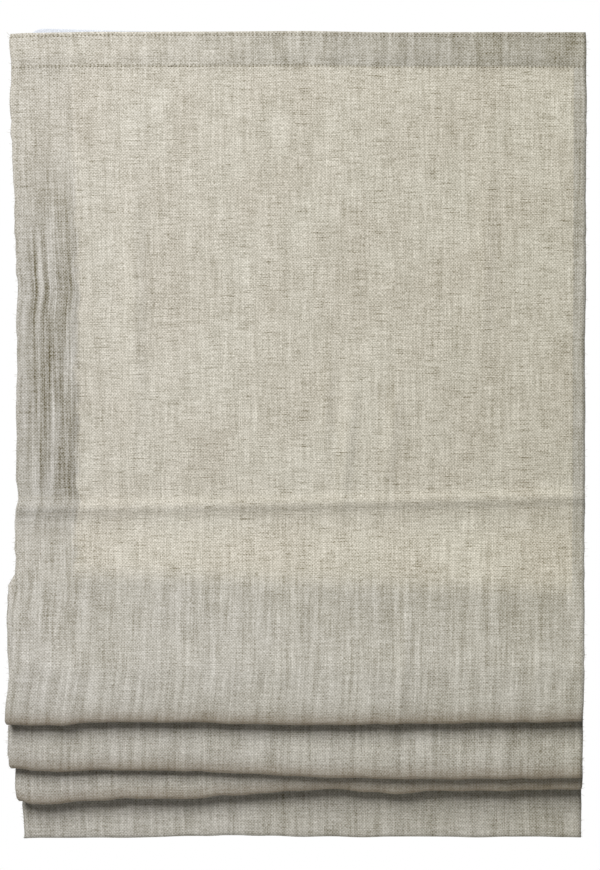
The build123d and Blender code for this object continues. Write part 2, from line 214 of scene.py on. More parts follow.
# Woven nylon tape is a cool white with a napped face of fine loops or hooks.
nap_mm = 0.9
tape, tree, shader = new_material("woven_nylon_tape", {"Roughness": 0.85, "Sheen Weight": 0.15})
nap = grain(tree, "TexVoronoi", 3 * [nap_mm])
colour(tree, shader, (nap, "Distance"), tones=("#C9CED8", "#DCE0E8"), relief=(0.6, 0.3))
for piece, node in ((hook_tape, "hook_tape"), (loop_tape, "loop_tape")):
    piece.data.materials.append(tape)
    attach(piece, "headrail")
    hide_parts(node)


# Lift cords: braided polyester, 1 mm thick. Each leaves its drum straight down through the rings
# behind the rods into a moulded anchor, and the rest of it lies in close turns on the drum.

cord_radius, cord_y, axis_y, axis_z, cord_x = 0.5, -23.4, -17.3, 0.5, 150.0
cord_low, drum_wound, drum_lay = -486.7, 21.4, 5.98
cord_rows, braid_turn, turn_pitch, turn_rows = 700, 2.2, 1.03, 28


def braid_points(x):
    """A straight cord: a tube whose radius swells by a twelfth where the strands of a braid cross,
    as cos(3 a + k z) times cos(3 a - k z) does."""
    z = np.linspace(axis_z, cord_low, cord_rows)[:, None]
    a = np.linspace(0, 2 * math.pi, 9, endpoint=False)[None, :]
    r = cord_radius * (1 + np.cos(3 * a + braid_turn * z) * np.cos(3 * a - braid_turn * z) / 12)
    return np.stack(np.broadcast_arrays(x + r * np.cos(a), cord_y + r * np.sin(a), z), axis=-1)


def winding_points(x):
    """Close turns on a drum: a tube about a helix whose radius is the drum's and which moves along
    the drum by little more than a cord's thickness in each turn."""
    turns = int(drum_wound / (turn_pitch * 2 * cord_radius))
    t = np.linspace(0, 2 * math.pi * turns, turns * turn_rows)[:, None]
    a = np.linspace(0, 2 * math.pi, 8, endpoint=False)[None, :]
    r = drum_lay + cord_radius * np.cos(a)
    along = x - cord_radius - drum_wound + drum_wound * t / t[-1] + cord_radius * np.sin(a)
    return np.stack(np.broadcast_arrays(along, axis_y - r * np.cos(t), axis_z + r * np.sin(t)), axis=-1)


# Braided polyester is a clean warm white with a satin gleam on each strand.
strand_mm = 0.7
braid, tree, shader = new_material("braided_polyester", {"Roughness": 0.6, "Sheen Weight": 0.2})
strand = grain(tree, "TexNoise", 3 * [strand_mm], {"Detail": 1.0})
colour(tree, shader, (strand, "Fac"), tones=("#DCDAD3", "#F1F0EB"))
for side, x in (("left", -cord_x), ("right", cord_x)):
    run = surface(f"lift_cord_run_{side}", braid_points(x), around=True, caps=True)
    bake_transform(run)
    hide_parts(f"lift_cord_{side}")
    winding = surface(f"cord_winding_{side}", winding_points(x), around=True, caps=True)
    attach(winding, "drive")
    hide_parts(f"wound_cord_{side}")
    for piece in (run, winding):
        piece.data.materials.append(braid)


# Linen sheet: natural flax in a plain weave, cut about 520 by 1518 mm, with a 50 mm hem turned back
# at the left, a narrow one at the right, a turned heading and a bottom hem round a bar. It hangs
# flat to the first rod, then gathers into three folds whose crests lie one under the other.

cloth_width, cloth_gauge, hem_gauge = 460.0, 0.7, 0.5
left_hem, right_hem, heading_turn, heading_pitch = 50.0, 10.0, 30.0, 1.9
sheet_y, cloth_top = -34.75, 19.0
sheet_drop, lean_drop, fold_width, crest_reach = 649.0, 400.0, 7.0, 3.6
travel = 794.0


def eased(x, knots, values):
    """A curve through the knots that leaves and meets each one level: between two of them it is
    the first value plus their difference times t * t * (3 - 2 * t)."""
    knots, values = np.asarray(knots, float), np.asarray(values, float)
    cell = np.clip(np.searchsorted(knots, x) - 1, 0, len(knots) - 2)
    t = np.clip((x - knots[cell]) / (knots[cell + 1] - knots[cell]), 0, 1)
    return values[cell] + (values[cell + 1] - values[cell]) * t * t * (3 - 2 * t)


def lattice_noise(x, y, step_x, step_y, seed):
    """Smooth noise from -1 to 1: random values on a lattice of these steps, joined by eased
    interpolation both ways. The lattice repeats after 64 steps."""
    values = np.random.default_rng(seed).uniform(-1, 1, (64, 64))
    a, b = np.asarray(x) / step_x, np.asarray(y) / step_y
    i, j = np.floor(a).astype(int), np.floor(b).astype(int)
    p, q = a - i, b - j
    p, q = p * p * (3 - 2 * p), q * q * (3 - 2 * q)
    row = lambda k: values[k % 64, j % 64] * (1 - q) + values[k % 64, (j + 1) % 64] * q
    return row(i) * (1 - p) + row(i + 1) * p


def rounded_line(corners, radii, runs, bend_points):
    """Points down lines of straight runs joined by arcs, for all columns at once.

    An arc of radius r starts r * tan(turn / 2) before its corner and follows
    start + r * sin(a) * way + r * (1 - cos(a)) * side while a grows from 0 to the turn;
    way is the run's direction and side the direction that it turns to. Gives the points and,
    for each row, the number of the corner that it bends round, or -1 on a run."""
    step = np.diff(corners, axis=0)
    way = step / np.linalg.norm(step, axis=2, keepdims=True)
    rows, bends = [], []
    start = corners[0]
    for number, shares in enumerate(runs):
        last = number == len(runs) - 1
        if last:
            stop = corners[-1]
        else:
            cosine = np.clip((way[number] * way[number + 1]).sum(axis=1, keepdims=True), -1, 1)
            turn = np.arccos(cosine)
            stop = corners[number + 1] - way[number] * radii[number] * np.tan(turn / 2)
        for share in shares:
            rows.append(start + (stop - start) * share)
            bends.append(-1)
        if last:
            rows.append(stop)
            bends.append(-1)
            break
        side = way[number + 1] - cosine * way[number]
        side /= np.linalg.norm(side, axis=1, keepdims=True)
        for share in np.linspace(0, 1, bend_points)[:-1]:
            angle = turn * share
            rows.append(stop + radii[number] * (np.sin(angle) * way[number] + (1 - np.cos(angle)) * side))
            bends.append(number + 1)
        start = stop + radii[number] * (np.sin(turn) * way[number] + (1 - np.cos(turn)) * side)
    return np.array(rows), np.array(bends)


# Places across the sheet, with a column at each side of both hem edges.
columns, edge_strip = 138, 0.4
hem_edges = np.array([left_hem, cloth_width - right_hem])
across = np.unique(np.concatenate([np.linspace(0, cloth_width, columns),
                                   hem_edges - edge_strip, hem_edges + edge_strip]))
flat_x = across - cloth_width / 2
none = np.zeros_like(flat_x)

# How far each lower edge lifts above its straight line: hand-dressed linen wanders there.
top_lift = eased(flat_x, [-233, -215, -190, -160, -80, 0, 80, 160, 230],
                 [-1.1, -0.3, 0.1, 0.7, 0.8, 1.3, 0.2, 0.4, 0.3])
fold_lifts = [
    eased(flat_x, [-230, -214, -186, -158, -118, -79, -39, 1, 41, 96, 160, 226],
          [-1.3, -1.2, -1.1, 1.2, 1.3, 1.0, -0.4, -1.5, -0.9, 0.0, 0.8, 1.6]),
    eased(flat_x, [-230, -207, -187, -151, -111, -79, -39, 1, 41, 89, 161, 227],
          [4.9, 3.4, 2.2, 3.8, 3.1, 2.6, 0.6, -1.0, -2.5, -3.4, -3.4, -3.0]),
    eased(flat_x, [-227, -220, -204, -168, -136, -96, -55, -27, 1, 29, 53, 81, 113, 153, 193, 228],
          [-4.0, -6.5, -6.5, -3.9, -2.0, -2.8, 0.4, 2.6, 4.4, 5.6, 3.2, 1.6, 4.0, 4.0, 4.6, 5.2]),
]
for number, lift in enumerate(fold_lifts):
    lift += 0.5 * lattice_noise(flat_x, none, 13, 1, 51 + number)
hem_lift = 0.5 * lattice_noise(flat_x, none, 24, 1, 54)
hem_lift += eased(flat_x, [-222, -160, -80, -55, -31, 1, 80, 160, 228],
                  [-0.7, -0.7, 0.9, 2.1, 1.0, 0.5, 0.2, 0.1, 0.1])

# Each fold: the drop, reach and sides of its lower edge, the drop and sides of the shoulder where it
# starts to hang straight, the drop and sides of the crest behind it, and how far it flares forwards.
folds = [(554.0, 36.0, (-235.0, 225.6), 510.0, (-228.5, 226.5), 437.5, (-235.0, 226.0), 3.4),
         (596.0, 24.0, (-232.5, 226.3), 530.0, (-231.0, 226.5), 461.5, (-231.5, 226.5), 2.6),
         (614.0, 12.0, (-226.5, 227.0), 540.0, (-228.5, 227.0), 485.5, (-227.0, 227.0), 3.8)]
rod_drops = [382.0, 447.7, 471.7, 495.7]
top_sides, hem_sides = (-230, 230), (-222, 227.7)

# Each corner is the sides of the sheet there, its reach, its drop and the bend radius; a bend takes
# a little less than half of the space between its layers.
half = cloth_gauge / 2
bend_share, lean_radius, shoulder_radius, small_radius = 0.46, 60, 25, 2
hem_pitch = 3 + 2 * (half + hem_gauge + 0.3)
heading_bend, fold_bend, crest_bend, hem_bend = (
    bend_share * width for width in (heading_pitch, fold_width, crest_reach, hem_pitch))
stations = [
    (top_sides, -heading_pitch, heading_turn + none, 0),
    (top_sides, -heading_pitch, half - top_lift, heading_bend),
    (top_sides, 0, half - top_lift, heading_bend),
    (top_sides, 0, lean_drop + none, lean_radius),
]
for number, (drop, reach, sides, shoulder, shoulder_sides, crest, crest_sides, _) in enumerate(folds):
    low, inner = drop - half - fold_lifts[number], reach - fold_width
    stations += [(shoulder_sides, reach, shoulder + none, shoulder_radius), (sides, reach, low, fold_bend),
                 (sides, inner, low, fold_bend), (shoulder_sides, inner, shoulder + none, shoulder_radius),
                 (crest_sides, crest_reach, crest + half + none, crest_bend),
                 (crest_sides, 0, crest + half + none, crest_bend)]
    if number < len(folds) - 1:
        leave = rod_drops[number + 1] + 7.7 + none
        stations += [(crest_sides, 0, leave, small_radius), (crest_sides, 5.9, leave + 5, small_radius)]
stations += [
    (hem_sides, 0, sheet_drop - half - hem_lift, hem_bend),
    (hem_sides, -hem_pitch, sheet_drop - half - hem_lift, hem_bend),
    (hem_sides, -hem_pitch, sheet_drop - 30 + none, small_radius),
    (hem_sides, -heading_pitch, sheet_drop - 36 + none, small_radius),
    (hem_sides, -heading_pitch, sheet_drop - 42 + none, 0),
]
u = across / cloth_width
corners = np.array([np.stack([left + (right - left) * u, sheet_y - reach + none, cloth_top - drop], axis=1)
                    for (left, right), reach, drop, _ in stations])

# Rows lie 8 mm apart, but closer on the flat part and closest round the first rod's ridge.
row_pitch, flat_run, bend_points = 8, 2, 5
lengths = np.linalg.norm(np.diff(corners, axis=0), axis=2).mean(axis=1)
runs = [np.linspace(0, 1, max(2, round(length / row_pitch) + 1))[:-1] for length in lengths]
runs[flat_run] = np.concatenate([np.arange(0, 361, 5.5), np.arange(362, 398, 2.0)]) / lengths[flat_run]
line, bends = rounded_line(corners, [radius for *_, radius in stations[1:-1]], runs, bend_points)

# Each fold stands off a little more towards its lower edge and rolls under softly: over its last
# 16 mm the front layer nears the inner one, as the square of the way down. A fold has eight corners,
# from number 4 on: outer shoulder, two at the lower edge, inner shoulder, two at the crest and two more.
roll_rise, roll_depth, roll_shade = 16.0, 3.0, 0.85
shoulder_bends, low_bends, back_bends, crest_bends = (
    [first + 8 * number for number in range(len(folds))] for first in (4, 6, 7, 9))
lip_shade_weight = np.zeros(line.shape[:2])
for number, (drop, reach, _, shoulder, *_, flare) in enumerate(folds):
    rows = slice(np.flatnonzero(bends == shoulder_bends[number])[0],
                 np.flatnonzero(bends == back_bends[number])[-1] + 1)
    low_z, inner_y = cloth_top - drop + half + fold_lifts[number], sheet_y - reach + fold_width
    fold = line[rows]
    way = np.clip(1 - (fold[:, :, 2] - low_z) / roll_rise, 0, 1)
    # Painted shade and light at each lower edge: full weight on the bend, and less over the 16 mm above it.
    lip_shade_weight[rows] = np.where((bends[rows] == low_bends[number])[:, None], 1, roll_shade * way ** 2)
    fold[:, :, 1] += roll_depth * way ** 2 * np.clip((inner_y - fold[:, :, 1]) / fold_width, 0, 1)
    hang = (cloth_top - shoulder - fold[:, :, 2]) / (cloth_top - shoulder - low_z)
    fold[:, :, 1] -= flare * np.clip(hang, 0, 1)

# Distance down the sheet from its top edge, the same for a whole row.
arc = np.concatenate([[0], np.cumsum(np.linalg.norm(np.diff(line, axis=0), axis=2).mean(axis=1))])
top_row = int(np.argmax(line[:, :, 2].mean(axis=1)))
arc -= arc[top_row]

# The left edge wanders on the flat part, and the cloth beside it follows less and less.
wander_width, lean_power = 120, 6
flat_rows = (arc > -1) & (arc < 470)
wander = eased(arc, [0, 27, 55, 95, 127, 160, 192, 208, 232, 313, 361, 377, 397, 446, 480],
               [-3.7, -2.1, -2.1, -1.3, -0.1, 1.1, 2.7, 4.1, 1.9, 2.7, 2.7, 3.7, 0.9, 2.0, 0.0])
line[:, :, 0] += np.where(flat_rows, wander, 0)[:, None] / (1 + (across / wander_width) ** 2)[None, :]
lean_out = eased(arc, [0, 377, 420], [1.7, 0.1, 0.0])
line[:, :, 0] += np.where(flat_rows, lean_out, 0)[:, None] * (u ** lean_power)[None, :]

# Both edges are cut by hand: they waver a little, and draw in round the crests and the fold's ends.
draw = 0
for depth, width, places in ((5.5, 6, crest_bends), (3.4, 5, low_bends)):
    draw += sum(depth * np.exp(-((arc - arc[bends == place].mean()) / width) ** 2) for place in places)
waver = 0.7 * lattice_noise(arc, 0 * arc, 8, 1, 41) + 0.7 * lattice_noise(arc, 0 * arc, 27, 1, 42)
edge_width = 9
line[:, :, 0] += (draw + waver)[:, None] * np.exp(-across / edge_width)[None, :]
line[:, :, 0] -= (0.3 * draw + 0.4 * waver)[:, None] * np.exp((across - cloth_width) / edge_width)[None, :]

# Relief of the layers that face the room, all of it forwards: slack in the flat part, a ridge over
# the first rod, creases in the side hem and long upright puckers in the gathered part.
x_grid, s_grid = np.broadcast_arrays(flat_x[None, :], arc[:, None])


def bulge(height, x, slant, width, s, reach):
    """One wrinkle down the sheet, height * exp(-(off / width)^2 - (way / reach)^2): way is the distance
    down from its middle, which is at x and s, and off the distance aside from its slanting line."""
    way = s_grid - s
    return height * np.exp(-((x_grid - x + slant * way) / width) ** 2 - (way / reach) ** 2)


downward = np.gradient(line[:, :, 2].mean(axis=1)) < 0
on_front = downward & ((sheet_y - line[:, :, 1]).mean(axis=1) > -0.5)
front = np.convolve(on_front.astype(float), np.ones(5) / 5, mode="same")[:, None] * np.ones_like(x_grid)
gathered_from, gathered_over = 440, 18
below = 1 / (1 + np.exp(-(s_grid - gathered_from) / gathered_over))
slack = 0.9 * (1 + lattice_noise(x_grid, s_grid, 75, 190, 3)) * np.clip(s_grid / 90, 0, 1)
for wrinkle in ((2.4, 38, 0.10, 4.5, 335, 50), (1.6, 74, 0.12, 4.0, 325, 42), (1.5, 22, 0.05, 4.0, 300, 35),
                (2.8, -134, 0.0, 8.0, 220, 95), (1.4, 150, 0.04, 6.0, 180, 70)):
    slack += bulge(*wrinkle)
ridge_line = 384 - 9 * np.clip((x_grid + 150) / 380, 0, 1)
ridge = 2.1 * np.exp(-((s_grid - ridge_line) / 5.5) ** 2)
hem_crease = sum(height * np.exp(-((x_grid - x) / width) ** 2) for height, x, width in (
    (0.7, -213, 3.0), (0.8, -206, 2.4), (0.5, -198, 2.6), (0.7, -190, 2.4), (1.0, -184, 3.4)))
hem_crease *= eased(s_grid, [80, 200, 340, 384], [0, 1, 1, 0])
hem_crease *= 1 + 0.8 * lattice_noise(x_grid, s_grid, 5, 45, 5)
pucker = 0.35 * (1 + lattice_noise(x_grid, s_grid, 11, 120, 8))
pucker += 0.16 * (1 + lattice_noise(x_grid, s_grid, 5, 70, 9))
pucker *= 0.22 + 0.78 * below
for wrinkle in ((1.3, 84.9, 0.05, 3.2, 512, 45), (1.2, 191, 0.2, 3.2, 525, 28)):
    pucker += bulge(*wrinkle)
quiet = np.clip((s_grid - 30) / 25, 0, 1) * np.clip((s_grid[-1:, :] - s_grid) / 20, 0, 1)
seam = 0.9 * (1 + lattice_noise(x_grid, s_grid, 9, 14, 11)) * np.exp(-((s_grid - 20) / 7) ** 2)
line[:, :, 1] -= front * (seam + quiet * (slack * (1 - below) + ridge + hem_crease + pucker))

# One unit of the sheet's UV map is 1600 mm of cloth, both ways.
uv_mm, uv_start = 1600.0, 40.0
sheet_uv = np.stack(np.broadcast_arrays(across[None, :], arc[:, None] + uv_start), axis=-1) / uv_mm

# The hems are strips of the same sheet turned to its back, which faces the rail on the flat part.
back = np.cross(np.gradient(line, axis=1), np.gradient(line, axis=0))
back /= np.linalg.norm(back, axis=2, keepdims=True)
back *= np.sign(back[top_row + 12, len(across) // 2, 1])
behind = line + back * (half + hem_gauge / 2)


def follow_lift(piece, arc_of_rows, points):
    """Lay a piece of the sheet on the lift's line and put it back. Lowered all the way, a point hangs as far
    below the top edge as it lies down the sheet, so its share of the travel is the height that it gives up over
    the whole travel. A blend's own weight is t * t * (3 - 2 * t) along its line, so the mesh is laid on that
    line, at the t that gives the share, its transform is baked, and then it is put back."""
    given = points[:, :, 2] - (cloth_top - np.maximum(arc_of_rows, 0))[:, None]
    share = np.clip(given / travel, 0, 1).ravel()
    t = 0.5 - np.sin(np.arcsin(1 - 2 * share) / 3)
    laid = np.zeros((len(share), 3))
    laid[:, 2] = -t
    piece.data.vertices.foreach_set("co", laid.astype(np.float32).ravel())
    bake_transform(piece)
    piece.data.vertices.foreach_set("co", (points / 1000).astype(np.float32).ravel())
    piece.data.update()


# Each also has values on its points that weight painted shade: where it turns under at a fold's lower edge, and
# its creases.
cloth = []
for name, points, part, gauge in (("linen_sheet", line, across >= 0, cloth_gauge),
                                  ("side_hem_left", behind, across <= left_hem, hem_gauge),
                                  ("side_hem_right", behind, across >= cloth_width - right_hem, hem_gauge)):
    piece = surface(name, points[:, part], uv=sheet_uv[:, part])
    follow_lift(piece, arc, points[:, part])
    thicken(piece, gauge)
    for label, value in (("painted_lip_shade", lip_shade_weight), ("painted_crease_shade", hem_crease)):
        layer = piece.data.attributes.new(label, "FLOAT", "POINT")
        layer.data.foreach_set("value", value[:, part].astype(np.float32).ravel())
    cloth.append(piece)

# Natural linen: uneven flax yarns show as fine flecks, short dark weft slubs and long warp streaks.
# Light passing through a single layer is painted in: a single layer is painted paler and warmer than hems and
# gathered layers.
linen, tree, shader = new_material("natural_linen", {"Roughness": 0.92, "Sheen Weight": 0.12,
                                                     "Sheen Roughness": 0.6, "Specular IOR Level": 0.2})
place = add_node(tree, "UVMap", {"uv_map": "UVMap"})
cloth_mm = add_node(tree, "VectorMath", {"operation": "SCALE", "Scale": uv_mm}, {0: (place, "UV")})
axis = add_node(tree, "SeparateXYZ", None, {"Vector": (cloth_mm, "Vector")})
down = add_node(tree, "Math", {"operation": "SUBTRACT", 1: uv_start}, {0: (axis, "Y")})
x_mm, s_mm = (axis, "X"), (down, 0)

# Yarns lie about 0.8 mm apart. A fleck is one yarn crossing, a slub a thicker length of one yarn:
# across the sheet in the weft, down it in the warp. Width and height are sizes in millimetres, start
# and stop the part of the noise that counts, low and high what it adds to the tone there.
patterns, tones = {}, {}
for name, width, height, start, stop, low, high in (
        ("weft_yarn", 2.4, 0.8, 0.3, 0.7, -0.2, 0.2), ("warp_yarn", 0.8, 2.4, 0.3, 0.7, -0.2, 0.2),
        ("weft", 22.0, 1.0, 0.3, 0.7, -0.15, 0.16), ("weft_slub", 15.0, 0.8, 0.59, 0.74, 0.045, -0.5),
        ("warp", 0.9, 28.0, 0.3, 0.7, -0.13, 0.14), ("warp_slub", 0.85, 12.0, 0.59, 0.76, -0.01, 0.12),
        ("streak", 4.0, 90.0, 0.3, 0.7, -0.14, 0.14), ("mottle", 13.0, 18.0, 0.3, 0.7, -0.06, 0.06),
        ("cloud", 50.0, 70.0, 0.3, 0.7, -0.05, 0.05), ("painted_pleat_shade", 6.5, 170.0, 0.32, 0.68, -0.22, 0.42),
        ("hem_warp", 1.7, 90.0, 0.3, 0.7, -0.24, 0.2)):
    grid = add_node(tree, "VectorMath", {"operation": "MULTIPLY", 1: (1 / width, 1 / height, 1.0)},
                    {0: (cloth_mm, "Vector")})
    patterns[name] = add_node(tree, "TexNoise", {"Scale": 1.0, "Detail": 1.5, "Roughness": 0.6},
                              {"Vector": (grid, "Vector")})
    tones[name] = add_node(tree, "MapRange", {"From Min": start, "From Max": stop, "To Min": low,
                                              "To Max": high}, {"Value": (patterns[name], "Fac")})

# Three lines that aren't quite straight: the inner edge of the hem strays by 7 mm each way, the
# gathered part starts lower to the right, and so does the lower heading seam.
stray = add_node(tree, "Math", {"operation": "MULTIPLY_ADD", 1: 14.0, 2: -7.0},
                 {0: (patterns["mottle"], "Fac")})
hem_mm = (add_node(tree, "Math", {"operation": "ADD"}, {0: x_mm, 1: (stray, 0)}), 0)
gather_mm, seam_mm = (
    (add_node(tree, "Math", {"operation": "MULTIPLY_ADD", 1: slope}, {0: x_mm, 2: s_mm}), 0)
    for slope in (-0.035, -1 / cloth_width))

# Ramps over the sheet: each goes from low to high between two places, in millimetres across or down.
for name, source, start, stop, low, high, course in (
        ("heading", s_mm, 28.6, 27.8, 0.0, 1.0, "LINEAR"),
        ("heading_right", x_mm, 45.0, 300.0, 0.1, 1.0, "LINEAR"),
        ("hem", hem_mm, left_hem + 1.5, left_hem - 2.5, 0.0, 1.0, "LINEAR"),
        ("hem_below_top", s_mm, 80, 200, 0.3, 1.0, "LINEAR"),
        ("hem_above_folds", s_mm, 410, 385, 0.85, 1.0, "LINEAR"),
        ("narrow_hem", x_mm, hem_edges[1] - 0.5, hem_edges[1] + 0.5, 0.0, 1.0, "LINEAR"),
        ("gathered", gather_mm, 424, 448, 0.0, 1.0, "SMOOTHSTEP"),
        ("pleats_below", s_mm, 85, 175, 0.0, 1.0, "SMOOTHSTEP"),
        ("pleats_above", s_mm, 395, 360, 0.0, -1.0, "SMOOTHSTEP"),
        ("pleats_inside", x_mm, 6.0, 15.0, 0.0, 1.0, "LINEAR"),
        # Painted shade on the band where the sheet leans forwards over the folds, and painted light on the
        # straight-hanging front of the first fold.
        ("leaning_below", s_mm, 395, 412, 0.0, -0.05, "LINEAR"),
        ("leaning_above", s_mm, 500, 470, 0.0, 1.0, "LINEAR"),
        ("hanging_below", s_mm, 500, 525, 0.0, 0.05, "LINEAR"),
        ("hanging_above", s_mm, 590, 565, 0.0, 1.0, "LINEAR"),
        # Painted shade: the heading, and less so the whole cloth, is painted darker towards the right, as the
        # lamp's light falls off.
        ("heading_painted_falloff", x_mm, 120.0, cloth_width, 0.0, -0.16, "LINEAR"),
        ("painted_falloff", x_mm, 80.0, cloth_width, 0.0, -0.09, "LINEAR"),
        ("hem_side", x_mm, 30.0, 90.0, -0.045, 0.0, "LINEAR"),
        ("aside", x_mm, 0.0, cloth_width, 0.0, 1.0, "LINEAR")):
    tones[name] = add_node(tree, "MapRange", {"interpolation_type": course, "From Min": start, "From Max": stop,
                                              "To Min": low, "To Max": high}, {"Value": source})

# Layers: 1 in the heading, in the hems and where gathered cloth lies behind. Several layers show
# their long warp streaks more and their weft slubs less.
layers = None
for first, *others in (("heading", "heading_right"), ("hem", "hem_below_top", "hem_above_folds"),
                       ("narrow_hem",), ("gathered",)):
    part = tones[first]
    for name in others:
        part = add_node(tree, "Math", {"operation": "MULTIPLY"}, {0: (part, 0), 1: (tones[name], 0)})
    layers = part if layers is None else add_node(tree, "Math", {"operation": "MAXIMUM"},
                                                  {0: (layers, 0), 1: (part, 0)})
for name, low, high in (("streak_share", 0.6, 1.15), ("slub_share", 1.0, 0.4)):
    tones[name] = add_node(tree, "MapRange", {"To Min": low, "To Max": high}, {"Value": (layers, 0)})

# Needle holes are painted as dark dots of painted shade along the two heading seams, and creases are painted
# darker with painted shade.
hole_mm = 3.1
hole_turn = add_node(tree, "Math", {"operation": "MULTIPLY_ADD", 1: 2 * math.pi / hole_mm, 2: 0.1}, {0: x_mm})
hole_wave = add_node(tree, "Math", {"operation": "COSINE"}, {0: (hole_turn, 0)})
tones["hole"] = add_node(tree, "MapRange", {"From Min": 0.1, "From Max": -0.8, "To Min": -0.04,
                                            "To Max": -0.55}, {"Value": (hole_wave, 0)})
for name, source, seam_at in (("top_seam", s_mm, 3.2), ("heading_seam", seam_mm, 27.6)):
    off = add_node(tree, "Math", {"operation": "SUBTRACT", 1: seam_at}, {0: source})
    off = add_node(tree, "Math", {"operation": "ABSOLUTE"}, {0: (off, 0)})
    tones[name] = add_node(tree, "MapRange", {"From Min": 1.2, "From Max": 0.6}, {"Value": (off, 0)})
painted_crease_shade = add_node(tree, "Attribute", {"attribute_name": "painted_crease_shade"})
tones["painted_crease_shade"] = add_node(tree, "Math", {"operation": "MULTIPLY", 1: -0.11}, {0: (painted_crease_shade, "Fac")})

# The plain weave itself: yarns over and under one another, drawn at 2.5 mm, about three times
# their true pitch, so that it shows from a step away.
weave_mm, weave_depth, mean_tone = 2.5, 0.22, 0.957
waves = []
for side, seen_in, sway in (("X", "cloud", 14.0), ("Y", "mottle", 5.0)):
    wobble = add_node(tree, "Math", {"operation": "MULTIPLY", 1: sway}, {0: (patterns[seen_in], "Fac")})
    turn = add_node(tree, "Math", {"operation": "MULTIPLY_ADD", 1: 2 * math.pi / weave_mm},
                    {0: (axis, side), 2: (wobble, 0)})
    waves.append(add_node(tree, "Math", {"operation": "COSINE"}, {0: (turn, 0)}))
weave = add_node(tree, "Math", {"operation": "MULTIPLY"}, {0: (waves[0], 0), 1: (waves[1], 0)})

# The tone of the yarn is the weave and the sum of these products. The hem is painted darker down its middle
# with the painted shade of its pleats, but not beside its edge.
pleats = ("pleats_below", "pleats_above", "hem", "pleats_inside")
yarn = add_node(tree, "Math", {"operation": "MULTIPLY_ADD", 1: weave_depth, 2: mean_tone}, {0: (weave, 0)})
for first, *others in (("weft_yarn",), ("warp_yarn",), ("weft",), ("weft_slub", "slub_share"), ("warp",),
                       ("warp_slub",), ("streak", "streak_share"), ("mottle",), ("cloud",), ("painted_crease_shade",),
                       ("painted_pleat_shade", *pleats), ("hem_warp", *pleats), ("painted_falloff",), ("hem_side",),
                       ("heading_painted_falloff", "heading"), ("leaning_below", "leaning_above"),
                       ("hanging_below", "hanging_above"), ("hole", "top_seam"), ("hole", "heading_seam")):
    part = tones[first]
    for name in others:
        part = add_node(tree, "Math", {"operation": "MULTIPLY"}, {0: (part, 0), 1: (tones[name], 0)})
    yarn = add_node(tree, "Math", {"operation": "ADD"}, {0: (yarn, 0), 1: (part, 0)})

# Dark yarns are a little warmer than pale ones. Painted light: the cloth is painted cooler at the left, near
# the lamp, and warmer at the right, where its light falls off.
blotch = add_node(tree, "MapRange", {"From Min": 0.35, "From Max": 0.65},
                  {"Value": (patterns["cloud"], "Fac")})
single, several, painted_cast = (
    add_node(tree, "Mix", {"data_type": "RGBA", 6: first, 7: second}, {0: (source, 0)})
    for first, second, source in ((linear("#C9C3B4"), linear("#C8C3B4"), blotch),
                                  (linear("#BAB6AA"), linear("#B9B5AA"), blotch),
                                  ((1.0, 1.0, 1.025, 1.0), (1.0, 1.0, 0.975, 1.0), tones["aside"])))
# Painted light: a single layer takes the paler, warmer tone of light coming through it, and hems and gathered
# layers take the darker tone.
tone = add_node(tree, "Mix", {"data_type": "RGBA"}, {0: (layers, 0), 6: (single, 2), 7: (several, 2)})
yarn = add_node(tree, "VectorMath", {"operation": "MULTIPLY_ADD", 1: (0.96, 1.0, 1.14),
                                     2: (0.04, 0.0, -0.13)}, {0: (yarn, 0)})
tone = add_node(tree, "VectorMath", {"operation": "MULTIPLY"}, {0: (tone, 2), 1: (yarn, 0)})
tone = add_node(tree, "VectorMath", {"operation": "MULTIPLY"}, {0: (tone, 0), 1: (painted_cast, 2)})

# The turned-under edges are painted darker and warmer: painted shade where the cloth turns under, and painted
# light where light comes through the bend.
edge = add_node(tree, "Attribute", {"attribute_name": "painted_lip_shade"})
lip_shade_mix = add_node(tree, "Math", {"operation": "MULTIPLY", 1: 0.7}, {0: (edge, "Fac")})
tone = add_node(tree, "Mix", {"data_type": "RGBA", 7: linear("#7F6B4E")}, {0: (lip_shade_mix, 0), 6: (tone, 0)})
tree.links.new(tone.outputs[2], shader.inputs["Base Color"])
yarn_relief = (patterns["weft_yarn"], "Fac")
for name in ("weft_slub", "warp_slub"):
    yarn_relief = (add_node(tree, "Math", {"operation": "ADD"},
                            {0: yarn_relief, 1: (patterns[name], "Fac")}), 0)
colour(tree, shader, yarn_relief, relief=(0.5, 0.4))
for piece in cloth:
    piece.data.materials.append(linen)
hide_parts("linen_panel")


# Stitching: spun cotton thread in the colour of the cloth. One row runs under the top edge and one
# along the tape's lower edge, two hold the first rod's pocket, and a short tack sits under the hem.

stitch_pitch, stitch_length, stitch_radius, stitch_flat, stitch_tilt = 3.1, 2.3, 0.26, 0.8, 0.06
thread_radius, thread_rows = 0.17, 9


def on_sheet(a, s, proud):
    """Points on the front of the sheet, a across from the left edge and s down from the top edge,
    between the four grid points round each, moved forwards by proud."""
    i = np.clip(np.searchsorted(arc, s) - 1, 0, len(arc) - 2)
    j = np.clip(np.searchsorted(across, a) - 1, 0, len(across) - 2)
    p = ((s - arc[i]) / (arc[i + 1] - arc[i]))[:, None]
    q = ((a - across[j]) / (across[j + 1] - across[j]))[:, None]
    place, rearward = ((grid[i, j] * (1 - p) + grid[i + 1, j] * p) * (1 - q)
                       + (grid[i, j + 1] * (1 - p) + grid[i + 1, j + 1] * p) * q for grid in (line, back))
    return place - rearward * (half + proud)


